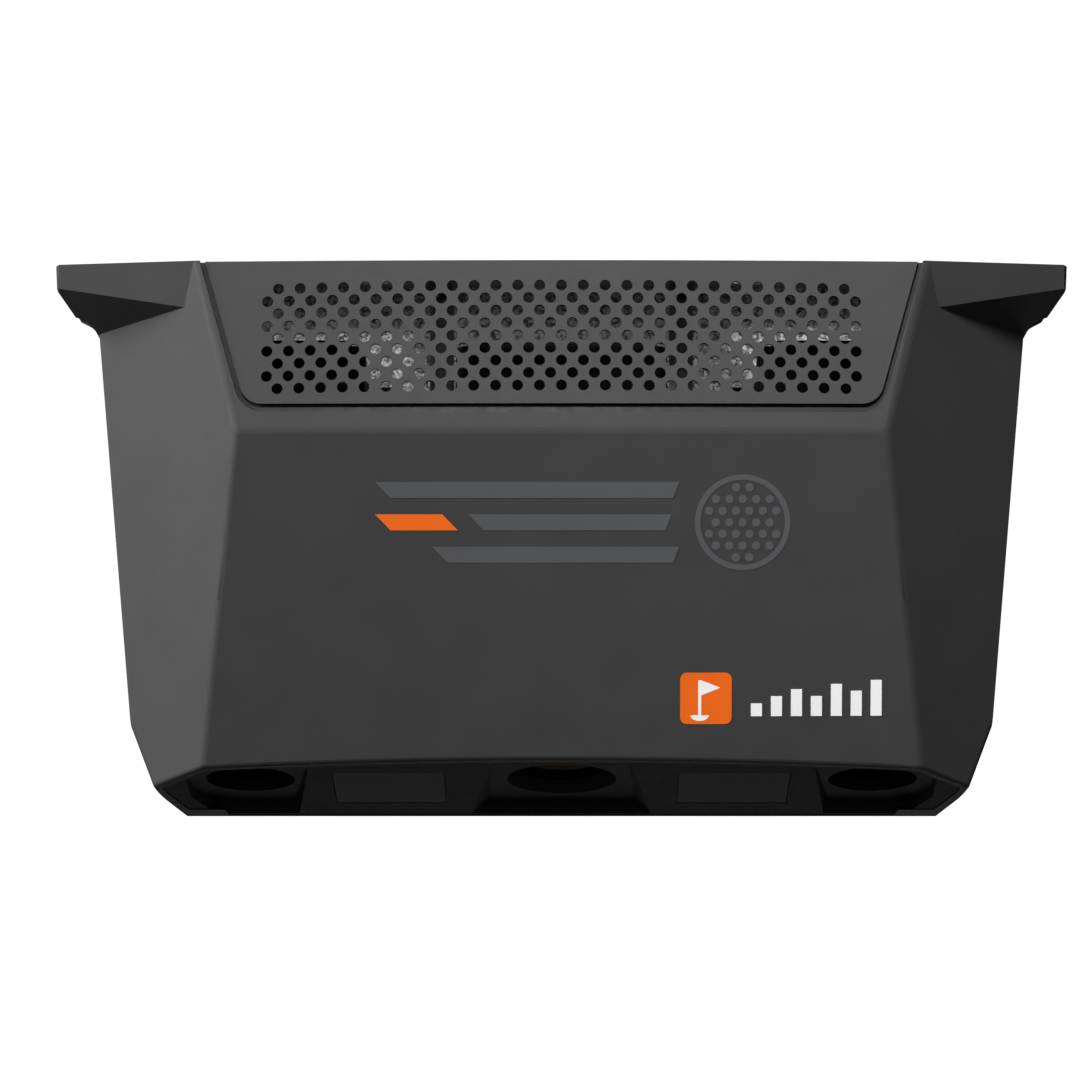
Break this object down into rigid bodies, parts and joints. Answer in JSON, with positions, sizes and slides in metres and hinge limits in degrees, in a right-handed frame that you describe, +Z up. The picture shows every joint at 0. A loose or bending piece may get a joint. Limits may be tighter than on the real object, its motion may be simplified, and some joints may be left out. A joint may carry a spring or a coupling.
{
  "type": "launch monitor",
  "caption": "Ceiling-hung golf launch monitor: faceted dark housing with side ears, perforated front grille and a slanted chin with sunk lens bays.",
  "frame": {"origin": "centre of the four ceiling bolts on the ceiling face; the unit hangs below it", "axes": "+Z up into the ceiling, X across the unit between the ears, -Y the front with the grille and the lens chin"},
  "size_m": [0.404, 0.1699, 0.221],
  "materials": {
    "housing_black": "fine satin texture",
    "grille_grey": "satin powder coat",
    "frame_black": "moulded",
    "bezel_black": "satin",
    "plate_steel": "zinc plated",
    "tray_steel": "galvanised",
    "rail_aluminium": "milled",
    "ir_glass": "infrared-pass acrylic",
    "board_black": "solder mask",
    "board_green": "solder mask",
    "fan_black": "moulded",
    "rotor_black": "moulded",
    "cooler_aluminium": "extruded",
    "standoff_brass": "turned",
    "connector_black": "moulded",
    "rocker_red": "moulded",
    "port_metal": "plated",
    "button_grey": "moulded",
    "light_green": "translucent",
    "cable_black": "matte sheath",
    "screw_steel": "black oxide",
    "camera_black": "black anodised",
    "lens_black": "black anodised",
    "ring_black": "black anodised, knurled",
    "lens_glass": "coated glass",
    "window_glass": "coated glass"
  },
  "bodies": {
    "housing": {"main_housing": "housing_black", "rear_cover": "housing_black", "grille_panel": "grille_grey", "grille_frame": "frame_black", "bottom_bezel": "bezel_black", "mounting_plate": "plate_steel", "equipment_tray": "tray_steel", "camera_rail": "rail_aluminium", "rail_brackets": "plate_steel", "ir_window_left": "ir_glass", "ir_window_right": "ir_glass", "ir_boards": "board_black", "fan_left_frame": "fan_black", "fan_right_frame": "fan_black", "main_board": "board_black", "heatsink": "cooler_aluminium", "board_standoffs": "standoff_brass", "psu_module": "tray_steel", "io_panel": "frame_black", "power_inlet": "connector_black", "rocker_frame": "connector_black", "ethernet_jack": "port_metal", "usb_port": "port_metal", "status_light": "light_green", "camera_cables": "cable_black", "power_harness": "cable_black", "fan_leads": "cable_black", "cover_screws": "screw_steel", "plate_screws": "screw_steel", "bezel_screws": "screw_steel", "rail_bolts": "screw_steel", "lens_screws": "screw_steel", "camera_body_left": "camera_black", "camera_back_left": "camera_black", "sensor_board_left": "board_green", "lens_barrel_left": "lens_black", "lens_window_left": "window_glass", "camera_body_centre": "camera_black", "camera_back_centre": "camera_black", "sensor_board_centre": "board_green", "lens_barrel_centre": "lens_black", "lens_window_centre": "window_glass", "camera_body_right": "camera_black", "camera_back_right": "camera_black", "sensor_board_right": "board_green", "lens_barrel_right": "lens_black", "lens_window_right": "window_glass"},
    "fan_left_rotor": {"fan_left_rotor": "rotor_black"},
    "fan_right_rotor": {"fan_right_rotor": "rotor_black"},
    "power_rocker": {"power_rocker": "rocker_red"},
    "reset_button": {"reset_button": "button_grey"},
    "focus_ring_left": {"focus_ring_left": "ring_black"},
    "lens_cell_left": {"lens_cell_left": "lens_black", "front_lens_left": "lens_glass"},
    "focus_ring_centre": {"focus_ring_centre": "ring_black"},
    "lens_cell_centre": {"lens_cell_centre": "lens_black", "front_lens_centre": "lens_glass"},
    "focus_ring_right": {"focus_ring_right": "ring_black"},
    "lens_cell_right": {"lens_cell_right": "lens_black", "front_lens_right": "lens_glass"}
  },
  "joints": [
    {"name": "fan_left_spin", "type": "hinge", "parent": "housing", "child": "fan_left_rotor", "pos_m": [-0.118, 0.05, -0.07], "axis": [0, -1, 0], "continuous": true},
    {"name": "fan_right_spin", "type": "hinge", "parent": "housing", "child": "fan_right_rotor", "pos_m": [0.118, 0.05, -0.07], "axis": [0, -1, 0], "continuous": true},
    {"name": "focus_left_turn", "type": "hinge", "parent": "housing", "child": "focus_ring_left", "pos_m": [-0.123, -0.04881, -0.16118], "axis": [0, 0.3875, 0.9219], "range_deg": [-45, 45]},
    {"name": "focus_left_travel", "type": "slide", "parent": "housing", "child": "lens_cell_left", "axis": [0, 0.3875, 0.9219], "range_m": [-0.0008, 0.0008]},
    {"name": "focus_centre_turn", "type": "hinge", "parent": "housing", "child": "focus_ring_centre", "pos_m": [0, -0.04881, -0.16118], "axis": [0, 0.3875, 0.9219], "range_deg": [-45, 45]},
    {"name": "focus_centre_travel", "type": "slide", "parent": "housing", "child": "lens_cell_centre", "axis": [0, 0.3875, 0.9219], "range_m": [-0.0008, 0.0008]},
    {"name": "focus_right_turn", "type": "hinge", "parent": "housing", "child": "focus_ring_right", "pos_m": [0.123, -0.04881, -0.16118], "axis": [0, 0.3875, 0.9219], "range_deg": [-45, 45]},
    {"name": "focus_right_travel", "type": "slide", "parent": "housing", "child": "lens_cell_right", "axis": [0, 0.3875, 0.9219], "range_m": [-0.0008, 0.0008]},
    {"name": "power_rocker_tilt", "type": "hinge", "parent": "housing", "child": "power_rocker", "pos_m": [0.014, 0.05545, -0.111], "axis": [1, 0, 0], "range_deg": [-8, 8]},
    {"name": "reset_button_press", "type": "slide", "parent": "housing", "child": "reset_button", "axis": [0, -1, 0], "range_m": [0, 0.0008]}
  ],
  "couplings": [
    {"joint": "focus_left_travel", "follows": "focus_left_turn", "m_per_rad": 0.001},
    {"joint": "focus_centre_travel", "follows": "focus_centre_turn", "m_per_rad": 0.001},
    {"joint": "focus_right_travel", "follows": "focus_right_turn", "m_per_rad": 0.001}
  ]
}
